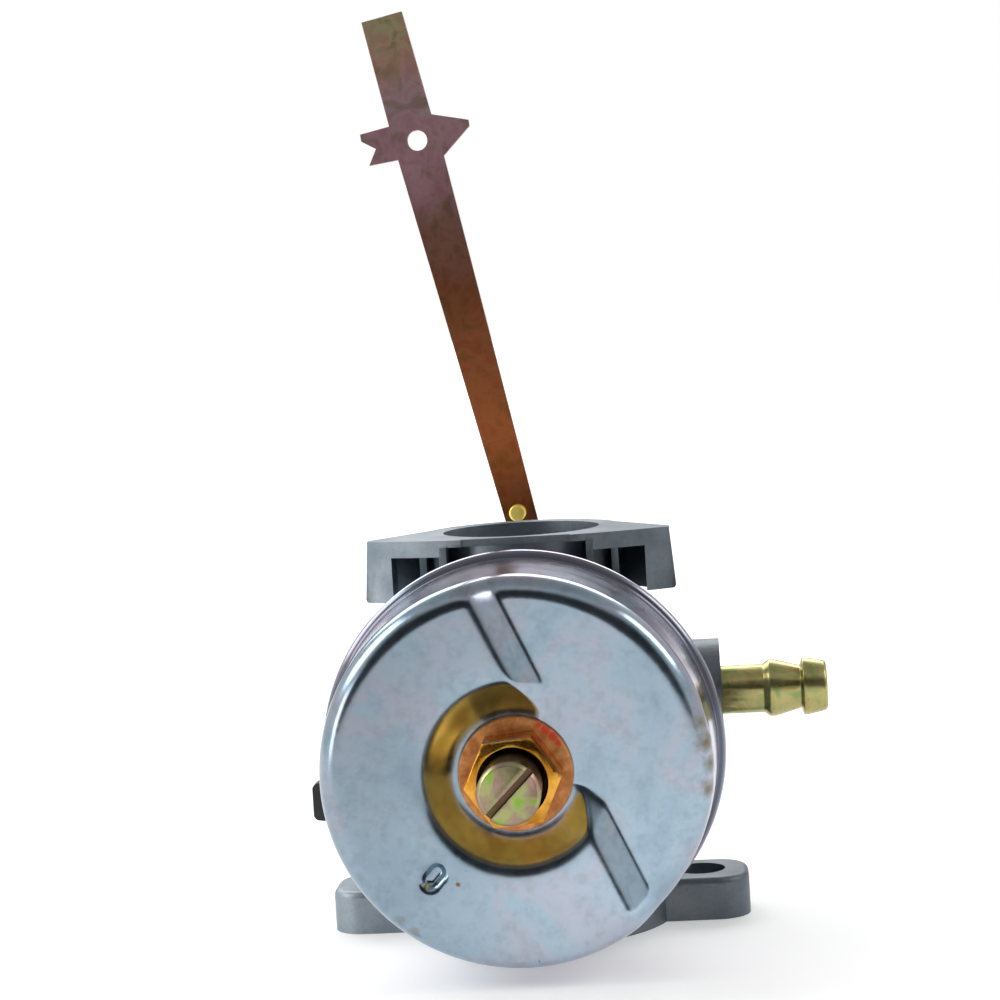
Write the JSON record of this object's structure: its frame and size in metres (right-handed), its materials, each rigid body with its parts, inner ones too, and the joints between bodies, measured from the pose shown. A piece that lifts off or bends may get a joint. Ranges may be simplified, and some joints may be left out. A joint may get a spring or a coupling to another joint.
{
  "type": "carburetor",
  "caption": "Small-engine float-bowl carburettor with a stepped round bowl, hex bowl nut, barbed fuel inlet, two-bolt engine flange and a long flat choke lever.",
  "frame": {"origin": "centre of the air bore on the engine flange face, the face that bolts to the engine", "axes": "+Z along the air bore from the engine flange to the air inlet; -Y towards the float bowl, which hangs down in use; +X the way the fuel inlet barb leaves"},
  "size_m": [0.0708, 0.0741, 0.1221],
  "materials": {
    "diecast": "satin, as cast",
    "zinc_steel": "clear zinc plated pressed sheet",
    "yellow_zinc": "yellow chromate over zinc, iridescent",
    "brass": "turned",
    "copper_washer": "soft, dull",
    "bright_steel": "turned or rolled",
    "black_plastic": "moulded, fine grain",
    "float_plastic": "moulded closed-cell plastic",
    "rubber": "matte",
    "fibre": "pressed fibre"
  },
  "bodies": {
    "carburettor_body": {"body_casting": "diecast", "float_bowl": "zinc_steel", "bowl_gasket": "rubber", "bowl_nut_washer": "copper_washer", "bowl_nut": "brass", "drain_screw": "yellow_zinc", "drain_washer": "fibre", "main_jet": "brass", "emulsion_tube": "brass", "pilot_jet": "brass", "welch_plug": "bright_steel", "needle_seat": "brass", "float_pin": "bright_steel", "fuel_inlet": "yellow_zinc", "choke_detent_ball": "bright_steel", "choke_detent_spring": "bright_steel", "choke_shaft_seal": "fibre", "throttle_shaft_seal": "fibre", "idle_speed_spring": "bright_steel", "mixture_spring": "bright_steel"},
    "float_arm": {"float": "float_plastic"},
    "needle": {"inlet_needle": "bright_steel"},
    "choke": {"choke_shaft": "bright_steel", "choke_plate": "bright_steel", "choke_plate_screws": "bright_steel", "choke_lever": "yellow_zinc", "lever_pin": "brass"},
    "throttle": {"throttle_shaft": "bright_steel", "throttle_plate": "brass", "throttle_plate_screws": "bright_steel", "throttle_lever": "black_plastic", "throttle_lever_screw": "bright_steel"},
    "idle_screw": {"idle_speed_screw": "bright_steel"},
    "mixture": {"mixture_screw": "brass"}
  },
  "joints": [
    {"name": "choke_turn", "type": "hinge", "parent": "carburettor_body", "child": "choke", "pos_m": [0, 0, 0.041], "axis": [0, 1, 0], "range_deg": [0, 75]},
    {"name": "throttle_turn", "type": "hinge", "parent": "carburettor_body", "child": "throttle", "pos_m": [0, 0, 0.012], "axis": [0, 1, 0], "range_deg": [0, 65]},
    {"name": "float_swing", "type": "hinge", "parent": "carburettor_body", "child": "float_arm", "pos_m": [0.0151, -0.016, 0.0305], "axis": [0, 0, 1], "range_deg": [0, 7]},
    {"name": "needle_lift", "type": "slide", "parent": "carburettor_body", "child": "needle", "axis": [0, -1, 0], "range_m": [0, 0.0006]},
    {"name": "idle_screw_turn", "type": "hinge", "parent": "carburettor_body", "child": "idle_screw", "pos_m": [0.0084, 0.0199, 0.022], "axis": [0, 0, 1], "range_deg": [-180, 180]},
    {"name": "mixture_screw_turn", "type": "hinge", "parent": "carburettor_body", "child": "mixture", "pos_m": [-0.018, 0.006, 0.017], "axis": [-1, 0, 0], "range_deg": [-180, 180]}
  ],
  "couplings": [
    {"joint": "needle_lift", "follows": "float_swing", "m_per_rad": 0.0047}
  ]
}
